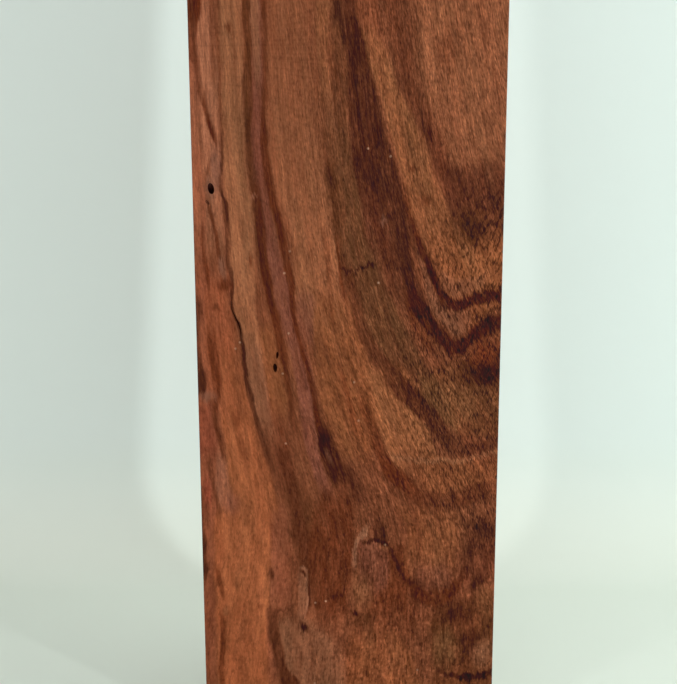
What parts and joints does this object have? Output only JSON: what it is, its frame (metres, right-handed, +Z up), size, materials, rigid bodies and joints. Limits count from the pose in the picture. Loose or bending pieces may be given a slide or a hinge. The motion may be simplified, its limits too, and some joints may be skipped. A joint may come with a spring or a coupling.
{
  "type": "granadillo board",
  "caption": "Flat rectangular board of figured brown hardwood, planed and square, with eased edges, sawn ends and a few small natural flaws in its front face.",
  "frame": {"origin": "centre of the foot end, on the surface that the board stands on", "axes": "+Z up along the grain and the length, X across the width, Y through the thickness with the best face towards -Y"},
  "size_m": [0.1016, 0.0254, 0.3048],
  "materials": {
    "granadillo": "planed and sanded hardwood, satin, orange-brown with dark purple-brown figure"
  },
  "bodies": {
    "root": {"board": "granadillo"}
  },
  "joints": []
}
